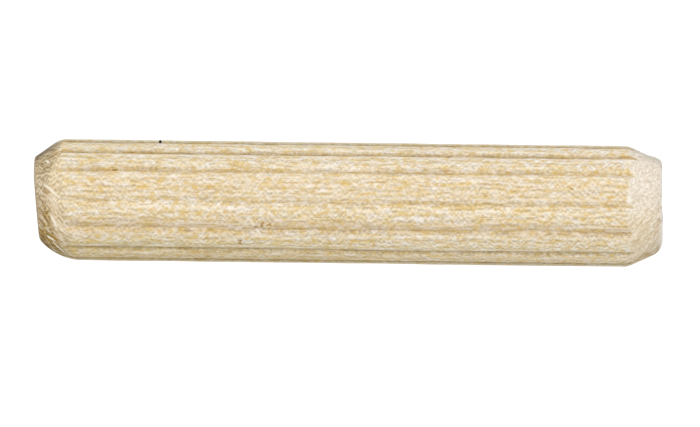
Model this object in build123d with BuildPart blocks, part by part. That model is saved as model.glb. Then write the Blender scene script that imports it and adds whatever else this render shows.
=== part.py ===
from build123d import *
import os
from math import cos, radians, sin, tan

# Fluted wooden dowel pin, standing on its square end. The origin is the middle of the
# foot face and +Z runs along the pin. Lengths are in millimetres, angles in degrees.

# Rod
pin_length = 40.0  # foot face to the highest corner of the sawn top
crest_diameter = 7.7  # over the lands between the flutes
stock_allowance = 1.0  # rod left past each end until that end is cut

# Flutes pressed along the whole rod
flute_count = 13
flute_depth = 0.28  # from a land to the root of the V
flute_angle = 70.0  # between the walls of the V
flute_root_radius = 0.05
flute_shoulder_radius = 0.25  # rounds each land down into its flutes
first_flute_bearing = 269.0  # from +X, anticlockwise seen from above

# Foot end: sawn square, with a long slim chamfer
foot_chamfer_length = 2.24  # along the pin
foot_chamfer_angle = 25.0  # from the pin's axis
foot_edge_radius = 0.45  # worn edge between the chamfer and the face

# Top end: sawn and pointed a little crooked
top_corner_reach = 2.56  # from the pin's axis to the highest corner
saw_cut_angle = 4.0  # the sawn face falls towards -X
pointing_tilt = 5.8  # the pointing cutter's axis leans towards +X
pointing_depth = 4.72  # from the top to where the two axes cross
top_chamfer_angle = 41.2  # from the cutter's axis
top_lead_angle = 10.5  # shallow taper below the chamfer, from the cutter's axis
top_lead_radius = 3.746  # where the shallow taper meets the chamfer
top_lead_blend = 1.5  # rounds that meeting
cutter_overlap = 1.0  # how far each end cutter reaches outside the crests

crest_radius = crest_diameter / 2
cutter_radius = crest_radius + cutter_overlap

# The section is turned so that a flute lies on its own X axis.
flute_half_angle = radians(flute_angle / 2)
flute_mouth_depth = flute_depth + cutter_overlap
flute_half_mouth = flute_mouth_depth * tan(flute_half_angle)
rod_plane = Plane.XY.offset(-stock_allowance).rotated((0, 0, first_flute_bearing))

# Foot: the chamfer's line, followed down to the face and out past the crests
foot_slope = tan(radians(foot_chamfer_angle))
foot_corner_radius = crest_radius - foot_chamfer_length * foot_slope
foot_cutter_height = foot_chamfer_length + cutter_overlap / foot_slope

# Top: the cutter's lines in its own leaning frame, taken from the highest corner
tilt = radians(pointing_tilt)
cutter_plane = Plane(
    origin=(0, 0, pin_length - pointing_depth),
    x_dir=(cos(tilt), 0, -sin(tilt)),
    z_dir=(0, -1, 0),
)
top_corner = Vector(top_corner_reach, 0, pin_length)
top_corner_in_cutter = cutter_plane.to_local_coords(top_corner)
chamfer_slope = tan(radians(top_chamfer_angle))
lead_slope = tan(radians(top_lead_angle))
cutter_apex = top_corner_in_cutter.Y + top_corner_in_cutter.X / chamfer_slope
lead_start = cutter_apex - top_lead_radius / chamfer_slope
lead_end = lead_start - (cutter_radius - top_lead_radius) / lead_slope
cutter_axis = Axis(cutter_plane.origin, cutter_plane.y_dir)
saw_tilt = radians(saw_cut_angle)
saw_plane = Plane(origin=top_corner, z_dir=(-sin(saw_tilt), 0, cos(saw_tilt)))

os.makedirs("parts", exist_ok=True)

with BuildPart() as dowel_pin:
    # Fluted rod, longer than the pin
    with BuildSketch(rod_plane) as fluted_section:
        Circle(crest_radius)
        with PolarLocations(crest_radius - flute_depth, flute_count):
            Polygon(
                (0, 0),
                (flute_mouth_depth, -flute_half_mouth),
                (flute_mouth_depth, flute_half_mouth),
                mode=Mode.SUBTRACT,
            )
        corners = fluted_section.vertices().group_by(SortBy.DISTANCE)
        fillet(corners[-1], flute_shoulder_radius)
        roots = fluted_section.vertices().group_by(SortBy.DISTANCE)[0]
        fillet(roots, flute_root_radius)
    extrude(amount=pin_length + 2 * stock_allowance)

    # Foot: square face, worn edge and slim chamfer
    with BuildSketch(Plane.XZ) as foot_profile:
        Polygon(
            (0, 0),
            (foot_corner_radius, 0),
            (cutter_radius, foot_cutter_height),
            (cutter_radius, pin_length + 2 * stock_allowance),
            (0, pin_length + 2 * stock_allowance),
        )
        on_face = foot_profile.vertices().group_by(Axis.Y)[0]
        fillet(on_face.sort_by(Axis.X)[-1], foot_edge_radius)
    revolve(axis=Axis.Z, mode=Mode.INTERSECT)

    # Top: steep chamfer and shallow taper of the crooked pointing cutter
    with BuildSketch(cutter_plane) as pointing_profile:
        Polygon(
            (0, cutter_apex),
            (top_lead_radius, lead_start),
            (cutter_radius, lead_end),
            (cutter_radius, cutter_apex),
        )
        knee = pointing_profile.vertices().sort_by_distance((top_lead_radius, lead_start))[0]
        fillet(knee, top_lead_blend)
    revolve(axis=cutter_axis, mode=Mode.SUBTRACT)

    # Saw cut, falling towards -X
    split(bisect_by=saw_plane, keep=Keep.BOTTOM)

dowel_pin.part.label = "dowel_pin"
export_step(dowel_pin.part, "parts/dowel_pin.step")
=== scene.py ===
import math

import bpy
import numpy as np
from mathutils import Matrix, Vector


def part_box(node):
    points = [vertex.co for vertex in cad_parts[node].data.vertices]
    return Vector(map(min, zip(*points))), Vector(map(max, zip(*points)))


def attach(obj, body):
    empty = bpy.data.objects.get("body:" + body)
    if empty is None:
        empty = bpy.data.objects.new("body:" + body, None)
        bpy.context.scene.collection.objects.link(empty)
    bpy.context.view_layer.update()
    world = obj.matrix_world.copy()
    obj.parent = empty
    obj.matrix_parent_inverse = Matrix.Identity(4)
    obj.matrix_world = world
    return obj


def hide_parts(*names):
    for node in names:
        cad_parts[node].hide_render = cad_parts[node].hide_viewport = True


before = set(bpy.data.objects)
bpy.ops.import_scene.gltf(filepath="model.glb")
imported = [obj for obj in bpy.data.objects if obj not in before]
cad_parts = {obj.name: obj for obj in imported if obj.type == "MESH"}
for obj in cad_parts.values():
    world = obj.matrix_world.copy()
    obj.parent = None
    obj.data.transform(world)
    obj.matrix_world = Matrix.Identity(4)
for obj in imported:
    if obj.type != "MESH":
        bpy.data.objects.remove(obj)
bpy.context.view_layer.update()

# The dowel pin is modelled in millimetres and scaled to metres at the end. It stands on
# its square foot with +Z along the pin, as the CAD solid does.
MM = 0.001
low_corner, high_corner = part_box("dowel_pin")
PIN_LENGTH = high_corner.z / MM
CREST_RADIUS = (high_corner.x - low_corner.x) / 2 / MM

# Flutes, as pressed in the rod
FLUTE_COUNT = 13
PITCH = 2 * math.pi * CREST_RADIUS / FLUTE_COUNT
FIRST_FLUTE = math.radians(269)
FLUTE_DEPTH = 0.28
FLUTE_HALF_ANGLE = math.radians(35)
FLUTE_SHOULDER = 0.25
ROOT_SOFTNESS = 0.04  # rounds the root of the V
LAND_CROWN = 0.15  # how far a land falls from its middle to the flutes
CREST_CLEARANCE = 0.004  # keeps the lands inside the CAD box
# Degrees that the press set some flutes off their even pitch
OUT_OF_PITCH = {1: 5.4, 2: 1.5, 3: -3.6, 10: 7.0, 11: 1.6, 12: 1.0}
# Depth of the flutes on the +X and -X sides, which faced the press rolls, as a share of
# the full depth, and what the flutes that the rolls missed lose of it
PRESSED_DEPTH = 0.86
PRESSED_LESS = 0.66
BARELY_PRESSED = {0: 0.5, 11: 0.6, 12: 0.15}  # share of that depth, by flute
MISSED_WIDENING = 0.3  # how much wider a flute is that the rolls missed
MISSED_UNEVENNESS = 0.4  # and how much its depth changes along the pin
MISSED_NOISE = (0.3, 19)  # cells per millimetre and seed of that change
# Noise along each flute: how much, cells per millimetre, and seed
DRIFT_NOISE = ((0.10, 0.13, 3), (0.04, 0.5, 4))
DEPTH_NOISE = ((0.22, 0.16, 5), (0.12, 1.1, 6))
WIDTH_NOISE = ((0.15, 0.23, 7), (0.1, 1.6, 8))
BURR_NOISE = ((0.7, 0.7, 9),)

# What shows around a flute, by the distance from its root
# The flute stain is dust together with painted shade of the deep recess
DUST_AND_SHADE_REACH = 0.26
DUST_AND_SHADE_LEAST = 0.3  # share of the dust and painted shade in a flute that the rolls missed
EDGE_SHADE_REACH = 0.54  # painted shade around the flutes that were pressed most, where the sides turn from the light
EDGE_SHADE_FULL = 0.2
EDGE_SHADE_BELOW = 0.8  # of it on the -X side
BURR_REACH = 0.42
BURR_WIDTH = 0.1
BURR_HEIGHT = 0.02  # fibres pushed up beside a flute

# Foot end
FOOT_CHAMFER_LENGTH = 2.24
FOOT_CHAMFER_ANGLE = math.radians(25)
FOOT_CORNER_RADIUS = CREST_RADIUS - FOOT_CHAMFER_LENGTH * math.tan(FOOT_CHAMFER_ANGLE)
FOOT_CHAMFER_BLEND = 0.10
FOOT_EDGE_RADIUS = 0.37
FOOT_EDGE_CHANGE = 0.06  # per millimetre towards +X, where the edge is sharper
FOOT_LIP = 0.1  # fibres torn outwards at the edge, on the +X side
FOOT_LIP_START, FOOT_LIP_END = 1.5, 3.0  # in x
FOOT_LIP_TOP, FOOT_LIP_FULL = 1.1, 0.5  # in z
FOOT_LIFT = 0.085  # how far the foot face lifts off the floor on its +X side
FOOT_LIFT_START, FOOT_LIFT_END = -0.8, 0.3  # in x

# Crooked top end
TOP_CORNER_REACH = 2.64
SAW_DROP = 0.04  # how far the sawn face lies below the CAD solid's highest corner
SAW_FALL_START = 1.45  # in x: it is level on the +X side of this, and falls from here
SAW_FALL_ANGLE = math.radians(5.3)
SAW_FRONT_FALL = 0.02  # how fast the saw face falls towards the front
SAW_EDGE_RADIUS = 0.10
POINTING_TILT = math.radians(5.8)
POINTING_DEPTH = 4.72
TOP_CHAMFER_ANGLE = math.radians(41.2)
TOP_CHAMFER_BLEND = 0.08
TOP_LEAD_ANGLE = math.radians(10.5)
TOP_LEAD_RADIUS = 3.746
TOP_LEAD_BLEND = 0.45
MARK_TWIST = 0.29  # radians per millimetre that the pointing cutter's marks wind
MARK_RADIUS = 3.6  # at which the marks are read, whatever the surface's own radius
# Where the pale strip ends and the burnish with its painted shade starts, along the cutter's axis
STRIP_RISE = 4.35  # above the point where that axis crosses the pin's
STRIP_TOP = (PIN_LENGTH - POINTING_DEPTH) * math.cos(POINTING_TILT) + STRIP_RISE

# Relief on the plain form: height, cells per millimetre along each axis, and seed
FIBRES = (
    (0.010, (5.0, 5.0, 0.55), 11),
    (0.007, (9.0, 9.0, 1.6), 12),
    (0.012, (1.3, 1.3, 0.10), 13),
)
CUTTER_MARKS = (0.016, (6.0, 6.0, 1.1), 14)
TORN_GRAIN = (0.012, (6.0, 6.0, 6.0), 15)
RELIEF_FULL_RADIUS = 2  # relief fades from here to the axis
RELIEF_LEAST_RADIUS = 1.0

# Where the looks change: how far inside the rod's side a point counts as cut, and how far
# from the sawn faces it counts as sawn or as the top's rim
CUT_START, CUT_FULL = 0.01, 0.06
TOP_SAWN_START, TOP_SAWN_FULL = 0.12, 0.03
FOOT_SAWN_START, FOOT_SAWN_FULL = 0.012, 0.003
RIM_START, RIM_FULL = 0.5, 0.25

# Late wood of each growth ring, by x: where it sets in, where it ends, and how dark it is
LATE_WOOD = ((2.3, -0.05, 0.3), (-0.95, -1.95, 0.72), (-2.7, -4.2, 0.5))
RING_END_BLUR = 0.12
RIPPLE = 0.30  # how much the fibres beside a light one are darker
RIPPLE_REACH = 0.19

# A crumb of dirt in the flute near +X
DIRT_PLACE = (3.79, -0.60, 31.96)
DIRT_SIZE = (0.3, 0.45, 0.1)
DIRT_HEIGHT = 0.09

# Small marks on the front: x, z, length, width, turn from the pin's axis towards +X in
# degrees, and strength
BROWN_MARKS = (
    (-1.41, 25.35, 0.50, 0.17, -64, 0.7),
    (-1.60, 25.75, 0.24, 0.19, 0, 0.75),
    (-1.46, 24.90, 0.46, 0.16, 0, 0.7),
    (1.92, 34.75, 0.46, 0.16, 0, 0.85),
    (-2.56, 26.75, 0.24, 0.19, 0, 0.8),
    (1.09, 5.81, 0.44, 0.14, 25, 0.6),
    (2.99, 13.60, 0.24, 0.15, 0, 0.7),
    (0.98, 33.50, 0.22, 0.15, 0, 0.55),
    (-2.40, 38.57, 0.78, 0.17, 42, 0.8),
    (-2.60, 38.92, 0.25, 0.17, 0, 0.8),
    (2.85, 38.50, 0.50, 0.20, 0, 0.45),
    (2.60, 0.12, 0.16, 0.36, 0, 0.5),
    (0.69, 0.10, 0.20, 0.16, 0, 0.4),
    (-0.05, 0.10, 0.20, 0.18, 0, 0.4),
    (-0.87, 0.20, 0.22, 0.34, 0, 0.4),
    (-3.02, 0.85, 0.55, 0.25, 0, 0.5),
    (-3.15, 1.25, 1.60, 0.36, -25, 0.22),
)
PALE_MARKS = (
    (-1.58, 25.80, 1.34, 0.17, 56, 0.75),
    (-2.47, 38.78, 0.64, 0.12, 30, 1.0),
    (0.67, 38.91, 0.86, 0.15, 43, 0.45),
    (-0.16, 38.64, 1.10, 0.15, 45, 0.4),
    (-1.34, 38.58, 0.94, 0.17, 62, 0.7),
    (2.39, 39.04, 0.34, 0.14, 41, 0.7),
    (2.85, 2.25, 0.50, 0.30, 0, 0.6),
    (0.41, 2.15, 0.36, 0.46, 0, 0.8),
)
MARK_DEPTH = 4.0  # along Y from the frontmost line, so that marks lie on the round side

# Light on the side of the pin that faces the camera's upper left, against a white of 1
LIGHT_LEVEL = 1.2

# Mesh rows and columns
COLUMNS_PER_FLUTE = 38
COLUMN_CROWDING = 1.5  # power that draws the columns towards the flutes' roots
DRIFT_REACH = 0.33  # up to here from a root, columns follow the flute's drift in full
FOOT_HUB = 3.2  # height from which the foot's rows fan out
TOP_HUB = 35.6  # height from which the top's rows fan out
BODY_ROW_STEP = 0.34
END_ROW_STEP = 0.12
LEAD_ROW_STEP = 0.18
FACE_ROW_STEP = 0.2
DIRT_ROWS = 11  # close rows over the crumb of dirt
DIRT_ROWS_REACH = 1.5  # each way from its middle, in its own size
DIRT_ROWS_CLEAR = 2  # and how far the usual rows keep away from it
# Points that the top's rows aim at: their radius, and their depth below the top
TOP_TURN_DROP = 2.4  # at the crest radius
TOP_KNEE, TOP_KNEE_DROP = 3.6, 1.5
TOP_CORNER, TOP_CORNER_DROP = 2.45, 0.15
SEARCH_REACH = 8.0  # longer than any way from a hub to the surface
SEARCH_STEPS = 40


def smooth(value, low, high):
    """Smooth step from 0 at low to 1 at high."""
    t = np.clip((value - low) / (high - low), 0, 1)
    return t * t * (3 - 2 * t)


def hashed(ix, iy, iz, seed):
    """A number from -1 to 1 for each lattice point."""
    h = (ix * 374761393 + iy * 668265263 + iz * 1274126177 + seed * 974634777) & 0xFFFFFFFF
    h = ((h ^ (h >> 13)) * 1103515245) & 0xFFFFFFFF
    h = ((h ^ (h >> 16)) * 2246822519) & 0xFFFFFFFF
    return ((h ^ (h >> 15)) & 0xFFFFFF) / float(0x7FFFFF) - 1.0


def noise(points, scale, seed):
    """Smooth noise from -1 to 1 at each point, with scale cells per millimetre along each axis."""
    p = np.asarray(points) * np.asarray(scale, float)
    base = np.floor(p)
    t = p - base
    t = t * t * t * (t * (6 * t - 15) + 10)
    i = base.astype(np.int64)
    total = 0.0
    for dx in (0, 1):
        wx = t[..., 0] if dx else 1 - t[..., 0]
        for dy in (0, 1):
            wy = t[..., 1] if dy else 1 - t[..., 1]
            for dz in (0, 1):
                wz = t[..., 2] if dz else 1 - t[..., 2]
                value = hashed(i[..., 0] + dx, i[..., 1] + dy, i[..., 2] + dz, seed)
                total = total + wx * wy * wz * value
    return total


def along(z, lane, scale, seed):
    """Noise along the pin, its own for each numbered lane."""
    lanes = np.broadcast_to(np.asarray(lane, float) * 7.0 + 0.5, z.shape)
    return noise(np.stack([z, lanes, np.full(z.shape, 0.5)], -1), (scale, 1, 1), seed)


def layered(z, lane, start, layers):
    """A start value with layers of noise along the pin added to it."""
    total = start
    for amount, scale, seed in layers:
        total = total + amount * along(z, lane, scale, seed)
    return total


def rounded_and(a, b, radius):
    """The signed distance inside both of two forms, with the edge between them rounded."""
    u = np.maximum(a + radius, 0)
    v = np.maximum(b + radius, 0)
    return np.minimum(-radius, np.maximum(a, b)) + np.hypot(u, v)


def flute_fall(t, width):
    """How far the surface lies below the land at a distance t across a flute."""
    slope = 1 / math.tan(FLUTE_HALF_ANGLE)
    t = np.abs(t) / width
    wall_end = FLUTE_SHOULDER * math.cos(FLUTE_HALF_ANGLE)
    arc_fall = FLUTE_SHOULDER * (1 - math.sin(FLUTE_HALF_ANGLE))
    half_mouth = (FLUTE_DEPTH - arc_fall) / slope + wall_end
    wall = FLUTE_DEPTH + ROOT_SOFTNESS - np.hypot(t * slope, ROOT_SOFTNESS)
    inside = np.clip(half_mouth - t, 0, wall_end)
    arc = FLUTE_SHOULDER - np.sqrt(FLUTE_SHOULDER**2 - inside**2)
    return np.where(t < half_mouth - wall_end, wall, arc)


def flute_bearing(lane):
    """Angle of a flute from +X, before it drifts."""
    return FIRST_FLUTE + lane * 2 * math.pi / FLUTE_COUNT


def pressed_share(lane):
    """1 for a flute that faced the press rolls, 0 for one that they missed."""
    return np.cos(flute_bearing(lane)) ** 2


def flute_wander(z, lane):
    """Sideways drift, depth and width of each flute along the pin."""
    drift = layered(z, lane, 0.0, DRIFT_NOISE)
    for stray, turn in OUT_OF_PITCH.items():
        drift = drift + CREST_RADIUS * math.radians(turn) * (lane == stray)
    depth = layered(z, lane, 1.0, DEPTH_NOISE)
    for faint, share in BARELY_PRESSED.items():
        depth = depth * np.where(lane == faint, share, 1)
    missed = np.sin(flute_bearing(lane)) ** 2
    uneven = 1 + MISSED_UNEVENNESS * missed * along(z, lane, *MISSED_NOISE)
    depth = depth * (PRESSED_DEPTH - PRESSED_LESS * missed) * uneven
    width = layered(z, lane, 1 + MISSED_WIDENING * missed, WIDTH_NOISE)
    return drift, depth, width


def body_radius(z, lane, across):
    """Radius of the fluted rod at columns that follow the flutes."""
    _, depth, width = flute_wander(z, lane)
    middle = np.clip(np.abs(across) / (PITCH / 2), 0, 1)
    crown = LAND_CROWN * (1 - middle) ** 2
    fall = flute_fall(across, width) * depth
    burr = BURR_HEIGHT * burr_share(z, lane, across)
    return CREST_RADIUS - CREST_CLEARANCE - crown - fall + burr


def burr_share(z, lane, across):
    """1 where the fibres beside a flute are pushed up most, 0 away from them."""
    ridge = np.exp(-(((np.abs(across) - BURR_REACH) / BURR_WIDTH) ** 2))
    return ridge * np.clip(layered(z, lane + 0.5 * (across > 0), 0.5, BURR_NOISE), 0, 1)


def foot_height(x):
    """Height of the foot face, which lifts a little on its +X side."""
    return FOOT_LIFT * smooth(x, FOOT_LIFT_START, FOOT_LIFT_END)


def saw_height(x, y):
    """Height of the sawn top, which falls towards -X and a little towards the front."""
    fall = np.maximum(SAW_FALL_START - x, 0) * math.tan(SAW_FALL_ANGLE)
    return PIN_LENGTH - SAW_DROP - fall - SAW_FRONT_FALL * np.maximum(-y, 0)


def pointed_form(x, y, z):
    """Signed distance to the crooked pointing cutter's chamfer and lead."""
    sin_tilt, cos_tilt = math.sin(POINTING_TILT), math.cos(POINTING_TILT)
    pivot = PIN_LENGTH - POINTING_DEPTH
    rise = x * sin_tilt + (z - pivot) * cos_tilt
    reach = np.hypot(x * cos_tilt - (z - pivot) * sin_tilt, y)
    corner_rise = TOP_CORNER_REACH * sin_tilt + POINTING_DEPTH * cos_tilt
    corner_reach = TOP_CORNER_REACH * cos_tilt - POINTING_DEPTH * sin_tilt
    chamfer_slope = math.tan(TOP_CHAMFER_ANGLE)
    lead_slope = math.tan(TOP_LEAD_ANGLE)
    apex = corner_rise + corner_reach / chamfer_slope
    lead_start = apex - TOP_LEAD_RADIUS / chamfer_slope
    chamfer = (reach - (apex - rise) * chamfer_slope) * math.cos(TOP_CHAMFER_ANGLE)
    lead = reach - TOP_LEAD_RADIUS - (lead_start - rise) * lead_slope
    return rounded_and(chamfer, lead * math.cos(TOP_LEAD_ANGLE), TOP_LEAD_BLEND)


def pin_form(x, y, z, side_radius):
    """Signed distance to the pin: negative inside."""
    r = np.hypot(x, y)
    foot_slope = math.tan(FOOT_CHAMFER_ANGLE)
    lip = FOOT_LIP * smooth(x, FOOT_LIP_START, FOOT_LIP_END)
    lip = lip * smooth(z, FOOT_LIP_TOP, FOOT_LIP_FULL)
    foot_chamfer = r - FOOT_CORNER_RADIUS - lip - z * foot_slope
    foot_chamfer = foot_chamfer * math.cos(FOOT_CHAMFER_ANGLE)
    foot_edge = FOOT_EDGE_RADIUS - FOOT_EDGE_CHANGE * x
    form = rounded_and(r - side_radius, foot_chamfer, FOOT_CHAMFER_BLEND)
    form = rounded_and(form, foot_height(x) - z, foot_edge)
    form = rounded_and(form, pointed_form(x, y, z), TOP_CHAMFER_BLEND)
    return rounded_and(form, z - saw_height(x, y), SAW_EDGE_RADIUS)


def spaced(ends, step):
    """Points from one end of a line to the other, no further apart than step."""
    (r0, z0), (r1, z1) = ends
    count = max(1, math.ceil(math.hypot(r1 - r0, z1 - z0) / step))
    return [(r0 + (r1 - r0) * k / count, z0 + (z1 - z0) * k / count) for k in range(count + 1)]


def outline_targets():
    """Points down the pin's outline that rows aim at, from the foot's middle to the top's."""
    foot_corner = (FOOT_CORNER_RADIUS, 0)
    foot_shoulder = (CREST_RADIUS, FOOT_CHAMFER_LENGTH)
    foot = spaced([(0, 0), foot_corner], FACE_ROW_STEP)[1:]
    foot += spaced([foot_corner, foot_shoulder], END_ROW_STEP)[1:]
    foot += spaced([foot_shoulder, (CREST_RADIUS, FOOT_HUB)], END_ROW_STEP)[1:]
    body = np.arange(FOOT_HUB + BODY_ROW_STEP, TOP_HUB - BODY_ROW_STEP / 2, BODY_ROW_STEP)
    close_rows = np.linspace(-DIRT_ROWS_REACH, DIRT_ROWS_REACH, DIRT_ROWS)
    clear = np.abs(body - DIRT_PLACE[2]) > DIRT_ROWS_CLEAR * DIRT_SIZE[2]
    body = np.sort(np.append(body[clear], DIRT_PLACE[2] + close_rows * DIRT_SIZE[2]))
    turn = (CREST_RADIUS, PIN_LENGTH - TOP_TURN_DROP)
    knee = (TOP_KNEE, PIN_LENGTH - TOP_KNEE_DROP)
    corner = (TOP_CORNER, PIN_LENGTH - TOP_CORNER_DROP)
    top = spaced([(CREST_RADIUS, TOP_HUB), turn], LEAD_ROW_STEP)
    top += spaced([turn, knee], END_ROW_STEP)[1:]
    top += spaced([knee, corner], END_ROW_STEP)[1:]
    top += spaced([corner, (0, corner[1])], FACE_ROW_STEP)[1:-1]
    return foot, body, top


def build_grid():
    """Rows by columns of points on the pin, and what each row and column stands for."""
    foot, body, top = outline_targets()
    starts = [FOOT_HUB] * len(foot) + list(body) + [TOP_HUB] * len(top)
    targets = foot + [(CREST_RADIUS, z) for z in body] + top
    start = np.array(starts)[:, None]
    aim = np.array([(r, z - z0) for (r, z), z0 in zip(targets, starts)])
    aim /= np.linalg.norm(aim, axis=1, keepdims=True)
    column = np.arange(FLUTE_COUNT * COLUMNS_PER_FLUTE)
    share = (column % COLUMNS_PER_FLUTE) / (COLUMNS_PER_FLUTE / 2) - 1
    across = np.sign(share) * np.abs(share) ** COLUMN_CROWDING * PITCH / 2
    lane = np.broadcast_to(column // COLUMNS_PER_FLUTE, (len(targets), len(column)))
    across = np.broadcast_to(across, lane.shape)
    level = np.array([z for _, z in targets])[:, None] * np.ones(lane.shape)
    drift, _, _ = flute_wander(level, lane)
    fade = np.clip((PITCH / 2 - np.abs(across)) / (PITCH / 2 - DRIFT_REACH), 0, 1)
    angle = flute_bearing(lane) + (across + drift * fade) / CREST_RADIUS
    side = body_radius(level, lane, across)
    # Halving the way from each hub until the point lies on the surface
    near, far = np.zeros(lane.shape), np.full(lane.shape, SEARCH_REACH)
    for _ in range(SEARCH_STEPS):
        middle = (near + far) / 2
        r = middle * aim[:, :1]
        z = start + middle * aim[:, 1:]
        x, y = r * np.cos(angle), r * np.sin(angle)
        inside = pin_form(x, y, z, side) < 0
        near, far = np.where(inside, middle, near), np.where(inside, far, middle)
    return np.stack([x, y, z], -1), side, level, lane, across


def twisted(points):
    """Points moved so that the cutter's wound marks become upright lines on one radius."""
    turn = np.arctan2(points[..., 1], points[..., 0])
    turn = turn - MARK_TWIST * (points[..., 2] - PIN_LENGTH)
    return np.stack([MARK_RADIUS * np.cos(turn), MARK_RADIUS * np.sin(turn), points[..., 2]], -1)


def surface_relief(points, cut):
    """How far fibres, cutter marks and torn grain stand above the plain form."""
    fibres = sum(height * noise(points, scale, seed) for height, scale, seed in FIBRES)
    height, scale, seed = CUTTER_MARKS
    marks = height * noise(twisted(points), scale, seed)
    height, scale, seed = TORN_GRAIN
    torn = height * noise(points, scale, seed)
    return fibres * (1 - cut) + np.minimum(marks + torn, 0.0) * cut


def crumb_share(points):
    """1 on the crumb of dirt, 0 away from it."""
    reach = np.linalg.norm((points - np.array(DIRT_PLACE)) / np.array(DIRT_SIZE), axis=-1)
    return smooth(reach, 1.0, 0.6)


def roughened(points, radius, cut):
    """The points with their relief, inside the crests but for the dirt, and in the CAD box."""
    dirt = DIRT_HEIGHT * crumb_share(points)
    relief = surface_relief(points, cut) + dirt
    relief = np.minimum(relief, CREST_RADIUS - radius + dirt)
    fade = np.clip(radius / RELIEF_FULL_RADIUS, 0, 1)
    scale = 1 + relief / np.maximum(radius, RELIEF_LEAST_RADIUS) * fade
    moved = points * np.stack([scale, scale, np.ones_like(scale)], -1)
    return np.clip(moved, np.array(low_corner) / MM, np.array(high_corner) / MM)


def closed_skin(name, points):
    """A mesh through rows of points that close into rings, with a fan to a pole at each end."""
    rows, columns, _ = points.shape
    foot_pole = (0, 0, foot_height(0))
    top_pole = (0, 0, points[-1, :, 2].mean())
    vertices = np.vstack([points.reshape(-1, 3), [foot_pole, top_pole]]) * MM
    index = np.arange(rows * columns).reshape(rows, columns)
    right = np.roll(index, -1, 1)
    quads = np.stack([index[:-1], right[:-1], right[1:], index[1:]], -1).reshape(-1, 4)
    foot_fan = np.stack([right[0], index[0], np.full(columns, rows * columns)], -1)
    top_fan = np.stack([index[-1], right[-1], np.full(columns, rows * columns + 1)], -1)
    mesh = bpy.data.meshes.new(name)
    mesh.from_pydata(vertices.tolist(), [], quads.tolist() + foot_fan.tolist() + top_fan.tolist())
    mesh.shade_smooth()
    return mesh


def flute_dust_and_shade(across, level, lane):
    """Dust and painted shade in the roots of the flutes, most in those that the rolls pressed
    most.
    """
    _, _, width = flute_wander(level, lane)
    share = np.clip(1 - np.abs(across) / (DUST_AND_SHADE_REACH * width), 0, 1)
    for faint, less in BARELY_PRESSED.items():
        share = share * np.where(lane == faint, less, 1)
    return share * (DUST_AND_SHADE_LEAST + (1 - DUST_AND_SHADE_LEAST) * pressed_share(lane))


def flank_painted_shade(across, lane):
    """Painted shade around the flutes on the +X and -X sides, which the rolls pressed most."""
    side = np.where(np.cos(flute_bearing(lane)) > 0, 1, EDGE_SHADE_BELOW)
    return smooth(np.abs(across), EDGE_SHADE_REACH, EDGE_SHADE_FULL) * pressed_share(lane) ** 8 * side


def store(mesh, name, share, at_foot_pole, at_top_pole):
    """Stores a share from 0 to 1 at each point of the mesh, for the material to read."""
    values = np.append(share.ravel(), [at_foot_pole, at_top_pole])
    stored = mesh.attributes.new(name, "FLOAT", "POINT")
    stored.data.foreach_set("value", values.astype(np.float32))


def build_pin():
    """The dowel pin's mesh, with the shares that its material needs."""
    points, side, level, lane, across = build_grid()
    x, y, z = points[..., 0], points[..., 1], points[..., 2]
    radius = np.hypot(x, y)
    cut = smooth(side - radius, CUT_START, CUT_FULL)
    uncut = 1 - cut
    mesh = closed_skin("dowel_pin_wood", roughened(points, radius, cut))
    at_top = (z > PIN_LENGTH / 2).astype(float)
    below_saw = saw_height(x, y) - z
    sawn = smooth(below_saw, TOP_SAWN_START, TOP_SAWN_FULL)
    sawn = sawn + smooth(z - foot_height(x), FOOT_SAWN_START, FOOT_SAWN_FULL)
    # Dust and painted shade in the flutes
    store(mesh, "flute", flute_dust_and_shade(across, level, lane) * uncut, 0, 0)
    # Painted shade on the +X and -X flanks
    store(mesh, "edge_shade", flank_painted_shade(across, lane) * uncut, 0, 0)
    store(mesh, "burr", burr_share(level, lane, across) * uncut, 0, 0)
    store(mesh, "sawn", sawn, 1, 1)
    store(mesh, "saw_edge", smooth(below_saw, RIM_START, RIM_FULL), 0, 1)
    store(mesh, "top_cut", cut * at_top, 0, 1)
    store(mesh, "foot_cut", cut * (1 - at_top), 1, 0)
    made = bpy.data.objects.new("dowel_pin_wood", mesh)
    bpy.context.scene.collection.objects.link(made)
    return made


def add_node(tree, kind, settings=None, values=None, links=None):
    """Adds a shader node, sets its properties and socket values, and links its inputs."""
    made = tree.nodes.new(kind)
    for name, value in (settings or {}).items():
        setattr(made, name, value)
    for name, value in (values or {}).items():
        made.inputs[name].default_value = value
    for name, socket in (links or {}).items():
        tree.links.new(socket, made.inputs[name])
    return made


def put(tree, socket, value):
    """Links a socket, or sets a number or a colour."""
    if isinstance(value, bpy.types.NodeSocket):
        tree.links.new(value, socket)
    elif isinstance(value, tuple):
        socket.default_value = (*value, 1.0)
    else:
        socket.default_value = value


def compute(tree, operation, *values):
    """A number made from sockets or numbers."""
    made = add_node(tree, "ShaderNodeMath", {"operation": operation})
    for socket, value in zip(made.inputs, values):
        put(tree, socket, value)
    return made.outputs[0]


def plus(tree, first, second):
    """The sum of two sockets or numbers."""
    return compute(tree, "ADD", first, second)


def minus(tree, first, second):
    """The first socket or number less the second."""
    return compute(tree, "SUBTRACT", first, second)


def times(tree, first, second):
    """The product of two sockets or numbers."""
    return compute(tree, "MULTIPLY", first, second)


def centred(tree, speckle, amount):
    """Noise from 0 to 1, moved to lie around 0 and multiplied by an amount."""
    return times(tree, minus(tree, speckle, 0.5), amount)


def away(tree, value, middle):
    """How far a value is from a middle one, either way."""
    return compute(tree, "ABSOLUTE", minus(tree, value, middle))


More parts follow.
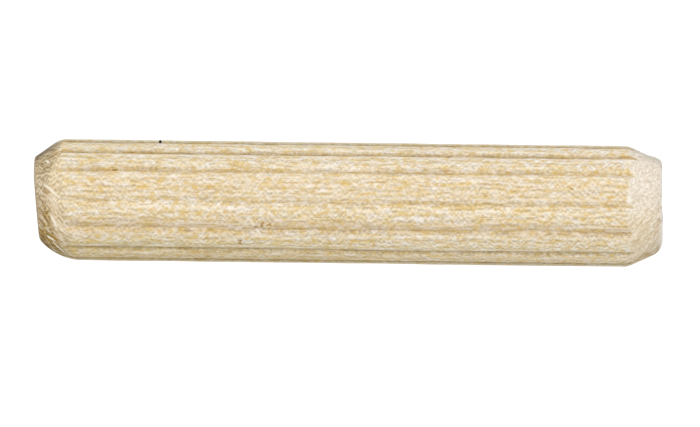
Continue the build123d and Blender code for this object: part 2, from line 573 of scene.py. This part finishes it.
def vector(tree, operation, first, second=None, output="Vector"):
    """A vector operation on a socket and, if given, a second socket or a fixed vector."""
    made = add_node(tree, "ShaderNodeVectorMath", {"operation": operation}, links={0: first})
    if isinstance(second, bpy.types.NodeSocket):
        tree.links.new(second, made.inputs[1])
    elif isinstance(second, tuple):
        made.inputs[1].default_value = second
    elif second is not None:
        made.inputs["Scale"].default_value = second
    return made.outputs[output]


def axes_of(tree, place):
    """The X, Y and Z sockets of a place."""
    return add_node(tree, "ShaderNodeSeparateXYZ", links={"Vector": place}).outputs


def attribute(tree, name):
    """A share stored at the mesh's points."""
    return add_node(tree, "ShaderNodeAttribute", {"attribute_name": name}).outputs["Fac"]


def map_range(tree, kind, value, source, target):
    """A value carried from one range to another and kept inside it."""
    made = add_node(
        tree,
        "ShaderNodeMapRange",
        {"interpolation_type": kind},
        {"From Min": source[0], "From Max": source[1], "To Min": target[0], "To Max": target[1]},
        {"Value": value},
    )
    return made.outputs["Result"]


def remap(tree, value, low, high, to_low=0.0, to_high=1.0):
    """Smooth step from low to high."""
    return map_range(tree, "SMOOTHSTEP", value, (low, high), (to_low, to_high))


def ramp(tree, value, low, high):
    """Straight ramp from 0 at low to 1 at high."""
    return map_range(tree, "LINEAR", value, (low, high), (0.0, 1.0))


def grain(tree, coordinates, stretch, offset, detail):
    """Noise from 0 to 1 with stretch cells per millimetre along each axis."""
    mapped = add_node(
        tree,
        "ShaderNodeMapping",
        values={"Scale": stretch, "Location": offset},
        links={"Vector": coordinates},
    )
    made = add_node(
        tree,
        "ShaderNodeTexNoise",
        values={"Scale": 1.0, "Detail": detail, "Roughness": 0.5},
        links={"Vector": mapped.outputs["Vector"]},
    )
    return made.outputs["Fac"]


def seen(red, green, blue):
    """The linear colour of a surface that the studio light shows as this, from 0 to 255."""
    linear = (((c / 255 + 0.055) / 1.055) ** 2.4 for c in (red, green, blue))
    return tuple(c / LIGHT_LEVEL for c in linear)


def tint(tree, share, first, second, mode="MIX"):
    """Mixes two colours by a share from 0 to 1."""
    made = add_node(tree, "ShaderNodeMix", {"data_type": "RGBA", "blend_type": mode})
    for name, value in (("Factor", share), ("A", first), ("B", second)):
        put(tree, next(s for s in made.inputs if s.name == name and s.enabled), value)
    return next(s for s in made.outputs if s.enabled)


def multiplied(tree, share, colour, factors):
    """A colour multiplied by factors for red, green and blue, by a share from 0 to 1."""
    return tint(tree, share, colour, factors, "MULTIPLY")


def mottled(tree, speckle, spread, dark, light):
    """Dark and light wood mixed by a speckle around 0.5."""
    return tint(tree, remap(tree, speckle, 0.5 - spread, 0.5 + spread), dark, light)


def wavy(tree, place):
    """The place moved sideways a little, so that the fibres run in gentle waves."""
    shift = add_node(
        tree,
        "ShaderNodeTexNoise",
        values={"Scale": 1.0, "Detail": 1.0},
        links={"Vector": vector(tree, "MULTIPLY", place, (0.7, 0.7, 0.28))},
    ).outputs["Color"]
    shift = vector(tree, "SUBTRACT", shift, (0.5, 0.5, 0.5))
    return vector(tree, "ADD", place, vector(tree, "MULTIPLY", shift, (0.3, 0.3, 0.0)))


def rippled(tree, place, stretch, offset, detail):
    """Grain with slightly darker fibres beside a light one, and lighter ones beside a dark one."""
    around = vector(tree, "CROSS_PRODUCT", place, (0, 0, 1))
    aside = vector(tree, "SCALE", vector(tree, "NORMALIZE", around), RIPPLE_REACH)
    middle = grain(tree, place, stretch, offset, detail)
    left = grain(tree, vector(tree, "ADD", place, aside), stretch, offset, detail)
    right = grain(tree, vector(tree, "SUBTRACT", place, aside), stretch, offset, detail)
    sides = times(tree, plus(tree, left, right), RIPPLE)
    return plus(tree, minus(tree, middle, sides), RIPPLE)


def late_wood(tree, place):
    """0 in early wood, rising slowly to each ring's late wood and falling at once at its end."""
    warp = grain(tree, place, (0.6, 0.6, 0.06), (8, 1, 6), detail=2)
    reach = plus(tree, axes_of(tree, place)["X"], centred(tree, warp, 1.2))
    total = 0.0
    for start, end, darkness in LATE_WOOD:
        set_in = remap(tree, reach, start, (start + end) / 2, 0.0, darkness)
        ended = remap(tree, reach, end - RING_END_BLUR, end + RING_END_BLUR)
        total = plus(tree, total, times(tree, set_in, ended))
    return total


def side_colour(tree, place, rings):
    """Straight-grained pale wood: speckle and streaks, ochre patches, flecks and dark pores."""
    place = wavy(tree, place)
    speckle = rippled(tree, place, (7.2, 7.2, 5.4), (11, 3, 5), detail=0.3)
    streaks = rippled(tree, place, (8.0, 8.0, 0.45), (3, 2, 9), detail=0.6)
    patches = grain(tree, place, (2.9, 2.9, 2.1), (31, 7, 9), detail=0.4)
    bands = grain(tree, place, (5.0, 5.0, 0.35), (13, 22, 4), detail=0.4)
    flecks = grain(tree, place, (4.4, 4.4, 2.9), (41, 12, 17), detail=0.3)
    pores = grain(tree, place, (9.0, 9.0, 1.2), (15, 2, 40), detail=0.5)
    tone = plus(tree, times(tree, speckle, 0.58), times(tree, streaks, 0.42))
    hue = plus(tree, times(tree, patches, 0.62), times(tree, bands, 0.38))
    pale = tint(tree, rings, seen(236, 227, 212), seen(225, 207, 180))
    ochre = tint(tree, rings, seen(224, 198, 141), seen(209, 177, 114))
    colour = tint(tree, ramp(tree, hue, 0.3, 0.7), pale, ochre)
    dark = multiplied(tree, 1.0, colour, (0.675, 0.645, 0.58))
    bright = multiplied(tree, 1.0, colour, (1.125, 1.145, 1.205))
    contrast = remap(tree, axes_of(tree, place)["X"], -1.0, 2.0, 1.0, 0.82)
    shade = ramp(tree, centred(tree, tone, contrast), -0.235, 0.113)
    colour = tint(tree, shade, dark, bright)
    colour = tint(tree, remap(tree, flecks, 0.60, 0.74, 0.0, 0.7), colour, seen(222, 186, 108))
    colour = tint(tree, remap(tree, pores, 0.62, 0.74, 0.0, 0.5), colour, seen(186, 150, 92))
    return colour, tone, speckle


def tint_flanks(tree, place, colour):
    """Greyer on the +X flank, and on the -X flank paler at the foot and darker and yellower at the
    top.
    """
    axes = axes_of(tree, place)
    up = ramp(tree, axes["Z"], 3.0, 37.0)
    high = tint(tree, up, (0.98, 0.995, 1.05), (0.955, 0.97, 0.985))
    low = tint(tree, up, (1.10, 1.14, 1.19), (0.925, 0.915, 0.775))
    colour = multiplied(tree, remap(tree, axes["X"], 1.9, 2.7), colour, high)
    return multiplied(tree, remap(tree, axes["X"], -2.1, -2.9), colour, low)


def add_flute_dust_and_shade(tree, place, colour):
    """Ochre to olive dust and painted shade in flutes, stronger in some stretches, pale burrs
    beside them.
    """
    blotches = grain(tree, place, (1.5, 1.5, 0.4), (7, 70, 3), detail=1)
    uneven = remap(tree, blotches, 0.3, 0.6, 0.5, 1.0)
    colour = tint(tree, times(tree, attribute(tree, "burr"), 0.4), colour, seen(250, 240, 222))
    # Dust in the roots, darkened further with painted shade of the recess
    dust_and_shade = times(tree, remap(tree, attribute(tree, "flute"), 0.0, 0.7), uneven)
    colour = multiplied(tree, dust_and_shade, colour, (0.68, 0.59, 0.40))
    # Painted shade on the +X and -X flanks, where the sides turn from the light
    return multiplied(tree, attribute(tree, "edge_shade"), colour, (0.63, 0.61, 0.52))


def wound_strokes(tree, place, height, start, twist, stretch, offset):
    """Noise in strokes that wind round the pin as a cutter's marks do, whatever the radius."""
    turn = times(tree, minus(tree, height, start), -twist)
    level = vector(tree, "MULTIPLY", place, (0, 0, 1))
    outward = vector(tree, "NORMALIZE", vector(tree, "MULTIPLY", place, (1, 1, 0)))
    wound = add_node(
        tree,
        "ShaderNodeVectorRotate",
        {"rotation_type": "Z_AXIS"},
        links={"Vector": vector(tree, "SCALE", outward, MARK_RADIUS), "Angle": turn},
    ).outputs["Vector"]
    return grain(tree, vector(tree, "ADD", wound, level), stretch, offset, detail=1)


def shade_end_sides(tree, axes, colour, strokes, amount, high, low):
    """Painted shade on the sides of a cut end: one tint towards +X and another towards -X."""
    from_side = plus(tree, compute(tree, "ABSOLUTE", axes["Y"]), centred(tree, strokes, 2.2))
    edge_shade = tint(tree, ramp(tree, axes["X"], -0.5, 0.5), low, high)
    share = times(tree, remap(tree, from_side, 1.95, 0.75), amount)
    return multiplied(tree, share, colour, edge_shade)


def burnish_and_shade_rise(tree, place, axes, strokes):
    """Height along the pointing cutter's axis, raised where the burnish and its painted shade
    reach further down.
    """
    along_cutter = (math.sin(POINTING_TILT), 0, math.cos(POINTING_TILT))
    rise = vector(tree, "DOT_PRODUCT", place, along_cutter, "Value")
    # It does so at the sides, most of all towards -X, and in ragged strokes
    sideways = times(tree, times(tree, axes["X"], axes["X"]), 0.06)
    low = remap(tree, axes["X"], 0.4, -0.9, 0.0, 0.44)
    low = plus(tree, low, remap(tree, axes["X"], -1.7, -3.2, 0.0, 0.4))
    rise = plus(tree, rise, plus(tree, sideways, low))
    return plus(tree, rise, times(tree, strokes, 0.9))


def strip_colour(tree, axes, speckle):
    """The pale strip below the burnish, duller around the middle of its upper part."""
    pale = mottled(tree, speckle, 0.15, seen(195, 174, 134), seen(226, 209, 177))
    near_middle = remap(tree, away(tree, axes["X"], 0.1), 1.0, 0.4)
    dull = times(tree, near_middle, remap(tree, axes["Z"], 38.2, 38.9))
    return multiplied(tree, dull, pale, (0.85, 0.80, 0.74))


def burnish_and_shade_colour(tree, axes, speckle):
    """Burnished end grain with painted shade: grey-brown towards +X, deep brown towards -X with a
    greyer rim.
    """
    burnished_and_shaded = mottled(tree, speckle, 0.15, seen(156, 137, 102), seen(204, 188, 158))
    yellower = remap(tree, away(tree, axes["X"], 2.3), 0.9, 0.3)
    burnished_and_shaded = multiplied(tree, yellower, burnished_and_shaded, (0.88, 0.85, 0.76))
    low_side = mottled(tree, speckle, 0.15, seen(124, 97, 38), seen(186, 157, 91))
    rim = remap(tree, axes["X"], -2.1, -1.3, 0.0, 0.75)
    greyed = times(tree, attribute(tree, "saw_edge"), rim)
    low_side = tint(tree, greyed, low_side, seen(192, 177, 150))
    return tint(tree, remap(tree, axes["X"], 0.9, -1.4), burnished_and_shaded, low_side)


def top_cut_colour(tree, place, speckle):
    """The pointed end: a pale strip torn in strokes that wind with the cutter, then burnish with
    painted shade.
    """
    axes = axes_of(tree, place)
    stretch, offset = (4.0, 4.0, 1.7), (3, 9, 14)
    strokes = wound_strokes(tree, place, axes["Z"], PIN_LENGTH, MARK_TWIST, stretch, offset)
    rise = burnish_and_shade_rise(tree, place, axes, strokes)
    burnish_and_shade_share = remap(tree, rise, STRIP_TOP - 0.2, STRIP_TOP + 0.2)
    strip = strip_colour(tree, axes, speckle)
    # Burnish with painted shade above the pale strip
    colour = tint(tree, burnish_and_shade_share, strip, burnish_and_shade_colour(tree, axes, speckle))
    # The strokes come in patches, bold towards -X and faint on the other side
    patches = grain(tree, place, (1.7, 1.7, 1.3), (5, 5, 8), detail=1)
    bold = remap(tree, axes["X"], 2.2, -0.2, 0.3, 1.0)
    bold = times(tree, bold, remap(tree, patches, 0.38, 0.56, 0.25, 1.0))
    torn_dark = times(tree, remap(tree, strokes, 0.37, 0.50, 0.75, 0.0), bold)
    near_burnish = remap(tree, rise, STRIP_TOP - 0.5, STRIP_TOP, 0.35, 1.0)
    torn_dark = times(tree, torn_dark, near_burnish)
    torn_pale = times(tree, remap(tree, strokes, 0.53, 0.63, 0.0, 0.85), bold)
    lost = times(tree, burnish_and_shade_share, remap(tree, axes["X"], -2.4, -1.7, 0.0, 0.5))
    torn_pale = times(tree, torn_pale, minus(tree, 1.0, lost))
    colour = tint(tree, torn_dark, colour, seen(136, 104, 50))
    colour = tint(tree, torn_pale, colour, seen(242, 230, 208))
    # Painted shade on the pointed end's sides, fuller towards the top
    amount = remap(tree, axes["Z"], 37.9, 38.9, 0.35, 1.0)
    high, low = (0.45, 0.44, 0.42), (0.67, 0.63, 0.53)
    return shade_end_sides(tree, axes, colour, strokes, amount, high, low)


def foot_cut_colour(tree, place, specks):
    """Freshly cut end grain: pinkish white, yellower towards -X, palest at the edge with painted
    light.
    """
    axes = axes_of(tree, place)
    stretch, offset = (4.5, 4.5, 2.1), (13, 4, 2)
    strokes = wound_strokes(tree, place, axes["Z"], 0.0, -MARK_TWIST, stretch, offset)
    dots = grain(tree, place, (6, 6, 4.5), (23, 5, 31), detail=1)
    colour = mottled(tree, specks, 0.20, seen(222, 208, 187), seen(246, 238, 226))
    yellow = remap(tree, axes["X"], 0.9, -1.8)
    yellow = times(tree, yellow, remap(tree, axes["Z"], 0.2, 1.3, 0.4, 1.0))
    colour = multiplied(tree, yellow, colour, (0.985, 0.93, 0.77))
    bold = remap(tree, axes["X"], 0.5, -1.2, 0.35, 1.0)
    torn_dark = times(tree, remap(tree, strokes, 0.36, 0.48, 0.45, 0.0), bold)
    torn_pale = times(tree, remap(tree, strokes, 0.54, 0.64, 0.0, 0.5), bold)
    colour = tint(tree, torn_dark, colour, seen(204, 174, 130))
    colour = tint(tree, torn_pale, colour, seen(250, 242, 228))
    colour = tint(tree, remap(tree, dots, 0.58, 0.74, 0.0, 0.4), colour, seen(214, 180, 126))
    # Painted shade on the foot's sides
    high, low = (0.80, 0.82, 0.84), (0.79, 0.74, 0.63)
    colour = shade_end_sides(tree, axes, colour, strokes, 1.0, high, low)
    # A pale torn line where the cut begins
    cut = attribute(tree, "foot_cut")
    torn_line = times(tree, cut, minus(tree, 2.0, times(tree, cut, 2.0)))
    colour = tint(tree, torn_line, colour, seen(252, 246, 234))
    # Painted light at the edge that meets the floor, against the shade of its contact
    return tint(tree, remap(tree, axes["Z"], 0.30, 0.05), colour, seen(252, 246, 236))


def sawn_colour(tree, place, rings, specks):
    """Sawn end grain: rings, dark pores, the saw's straight scratches and painted shade at the
    top's rim.
    """
    scratches = grain(tree, place, (0.5, 7.0, 0.5), (2, 6, 4), detail=1)
    vessels = grain(tree, place, (8, 8, 1), (17, 1, 3), detail=1)
    colour = tint(tree, rings, seen(205, 184, 148), seen(178, 150, 106))
    colour = tint(tree, remap(tree, specks, 0.32, 0.68, 0.5, 0.0), colour, seen(142, 116, 78))
    scratched = remap(tree, scratches, 0.52, 0.66, 0.0, 0.55)
    colour = tint(tree, scratched, colour, seen(226, 208, 176))
    radius = vector(tree, "LENGTH", vector(tree, "MULTIPLY", place, (1, 1, 0)), output="Value")
    # Painted shade at the rim of the top face, which shows edge-on as a dark outline
    rim = times(tree, remap(tree, radius, 2.0, 2.5, 0.0, 0.7), attribute(tree, "top_cut"))
    colour = tint(tree, rim, colour, seen(150, 134, 106))
    return tint(tree, remap(tree, vessels, 0.62, 0.70, 0.0, 0.8), colour, seen(112, 84, 48))


def distance_share(tree, place, centre, size, turn=0.0):
    """Distance from a centre, as a share of the size along X, Y and Z, turned about Y."""
    around = add_node(
        tree,
        "ShaderNodeMapping",
        {"vector_type": "TEXTURE"},
        {"Location": centre, "Rotation": (0, turn, 0), "Scale": size},
        {"Vector": place},
    )
    return vector(tree, "LENGTH", around.outputs["Vector"], output="Value")


def front_mark(tree, place, speckle, mark):
    """The strength of a mark on it, 0 away from it, with a ragged edge."""
    x, z, length, width, turn, strength = mark
    size = (width / 2, MARK_DEPTH, length / 2)
    reach = distance_share(tree, place, (x, -CREST_RADIUS, z), size, math.radians(turn))
    reach = plus(tree, reach, centred(tree, speckle, 1.8))
    return remap(tree, reach, 1.35, 0.55, 0.0, strength)


def add_marks(tree, place, colour, speckle):
    """Pale scratches and strokes, brown bits and specks, and a crumb of black dirt in a flute."""
    kinds = ((PALE_MARKS, seen(250, 243, 228)), (BROWN_MARKS, seen(166, 128, 48)))
    for marks, mark_colour in kinds:
        for mark in marks:
            colour = tint(tree, front_mark(tree, place, speckle, mark), colour, mark_colour)
    crumb = distance_share(tree, place, DIRT_PLACE, DIRT_SIZE)
    return tint(tree, remap(tree, crumb, 1.0, 0.75), colour, seen(16, 9, 0))


def wood_material():
    """Pale wood with its sides, cut ends and sawn faces, placed in the pin's own millimetres."""
    material = bpy.data.materials.new("pale_wood")
    material.use_nodes = True
    tree = material.node_tree
    tree.nodes.clear()
    coordinates = add_node(tree, "ShaderNodeTexCoord").outputs["Object"]
    place = vector(tree, "SCALE", coordinates, 1 / MM)
    rings = late_wood(tree, place)
    colour, tone, speckle = side_colour(tree, place, rings)
    colour = tint_flanks(tree, place, colour)
    colour = add_flute_dust_and_shade(tree, place, colour)
    specks = grain(tree, place, (6.6, 6.6, 5.6), (11, 3, 5), detail=1.2)
    top_cut, foot_cut = attribute(tree, "top_cut"), attribute(tree, "foot_cut")
    colour = tint(tree, top_cut, colour, top_cut_colour(tree, place, speckle))
    colour = tint(tree, foot_cut, colour, foot_cut_colour(tree, place, specks))
    sawn = attribute(tree, "sawn")
    colour = tint(tree, sawn, colour, sawn_colour(tree, place, rings, specks))
    colour = add_marks(tree, place, colour, speckle)
    rough = remap(tree, tone, 0.35, 0.65, 0.82, 0.62)
    bump = add_node(
        tree,
        "ShaderNodeBump",
        values={"Strength": 0.6, "Distance": 0.02 * MM},
        links={"Height": tone},
    )
    shader = add_node(
        tree,
        "ShaderNodeBsdfPrincipled",
        values={"Specular IOR Level": 0.3},
        links={"Base Color": colour, "Roughness": rough, "Normal": bump.outputs["Normal"]},
    )
    add_node(tree, "ShaderNodeOutputMaterial", links={"Surface": shader.outputs["BSDF"]})
    return material


# The photograph's frame, in its own pixels
FRAME_WIDTH, FRAME_HEIGHT = 700, 427
PIXELS_PER_MM = 15.74
PIN_MIDDLE_X, PIN_MIDDLE_Y = 348.0, 203.0
PIN_SLOPE = math.radians(0.705)

# The camera lies on its side, so the foot shows at the right
CAMERA_DISTANCE = 1000.0
CAMERA_ELEVATION = math.radians(-1.08)
CAMERA_CLIP = 0.02  # in metres
SENSOR_WIDTH = 36.0

FLOOR_HALF_WIDTH = 1.5  # in metres
FLOOR_GLOW = 0.55  # the floor is a light table, so the foot isn't lost in its own shadow


def make_camera():
    """A long lens that shows the pin where the photograph has it."""
    data = bpy.data.cameras.new("camera")
    data.sensor_width = SENSOR_WIDTH
    data.lens = SENSOR_WIDTH * CAMERA_DISTANCE * PIXELS_PER_MM / FRAME_WIDTH
    data.clip_start = CAMERA_CLIP
    camera = bpy.data.objects.new("camera", data)
    back = Vector((0, -math.cos(CAMERA_ELEVATION), math.sin(CAMERA_ELEVATION)))
    towards_top = Vector((0, math.sin(CAMERA_ELEVATION), math.cos(CAMERA_ELEVATION)))
    side = Vector((1, 0, 0))
    right = -math.cos(PIN_SLOPE) * towards_top + math.sin(PIN_SLOPE) * side
    up = math.sin(PIN_SLOPE) * towards_top + math.cos(PIN_SLOPE) * side
    aim = Vector((0, 0, PIN_LENGTH / 2))
    aim += right * (FRAME_WIDTH / 2 - PIN_MIDDLE_X) / PIXELS_PER_MM
    aim -= up * (FRAME_HEIGHT / 2 - PIN_MIDDLE_Y) / PIXELS_PER_MM
    turn = Matrix((right, up, back)).transposed().to_4x4()
    camera.matrix_world = Matrix.Translation((aim + back * CAMERA_DISTANCE) * MM) @ turn
    bpy.context.scene.collection.objects.link(camera)
    bpy.context.scene.camera = camera


def make_sun(name, azimuth, elevation, strength, spread):
    """A soft sun. Azimuth 0 shines from the camera's side and 90 from +X."""
    data = bpy.data.lights.new(name, "SUN")
    data.energy = strength
    data.angle = math.radians(spread)
    sun = bpy.data.objects.new(name, data)
    a, e = math.radians(azimuth), math.radians(elevation)
    source = Vector((math.sin(a) * math.cos(e), -math.cos(a) * math.cos(e), math.sin(e)))
    sun.rotation_mode = "QUATERNION"
    sun.rotation_quaternion = source.to_track_quat("Z", "Y")
    bpy.context.scene.collection.objects.link(sun)


def white_background(tree, strength):
    """A white background shader of one strength."""
    made = add_node(
        tree,
        "ShaderNodeBackground",
        values={"Color": (1, 1, 1, 1), "Strength": strength},
    )
    return made.outputs[0]


def make_world(light, shown):
    """White of one strength as light, and of another to the camera."""
    world = bpy.data.worlds.new("studio")
    world.use_nodes = True
    tree = world.node_tree
    tree.nodes.clear()
    path = add_node(tree, "ShaderNodeLightPath")
    mixed = add_node(tree, "ShaderNodeMixShader", links={0: path.outputs["Is Camera Ray"]})
    tree.links.new(white_background(tree, light), mixed.inputs[1])
    tree.links.new(white_background(tree, shown), mixed.inputs[2])
    add_node(tree, "ShaderNodeOutputWorld", links={"Surface": mixed.outputs[0]})
    bpy.context.scene.world = world


def make_floor():
    """A plain pale floor that glows a little."""
    w = FLOOR_HALF_WIDTH
    mesh = bpy.data.meshes.new("floor")
    mesh.from_pydata([(-w, -w, 0), (w, -w, 0), (w, w, 0), (-w, w, 0)], [], [(0, 1, 2, 3)])
    floor = bpy.data.objects.new("floor", mesh)
    bpy.context.scene.collection.objects.link(floor)
    material = bpy.data.materials.new("pale_floor")
    material.use_nodes = True
    shader = material.node_tree.nodes["Principled BSDF"]
    shader.inputs["Base Color"].default_value = (0.5, 0.5, 0.5, 1)
    shader.inputs["Roughness"].default_value = 0.9
    shader.inputs["Specular IOR Level"].default_value = 0.0
    shader.inputs["Emission Color"].default_value = (1, 1, 1, 1)
    shader.inputs["Emission Strength"].default_value = FLOOR_GLOW
    mesh.materials.append(material)


bpy.context.scene.view_settings.view_transform = "Standard"
make_camera()
make_world(light=0.52, shown=1.1)
make_sun("overhead_light", azimuth=20, elevation=80, strength=1.76, spread=60)
make_sun("key_light", azimuth=28, elevation=15, strength=1.19, spread=35)
make_floor()

pin = build_pin()
pin.data.materials.append(wood_material())
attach(pin, "root")
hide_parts("dowel_pin")
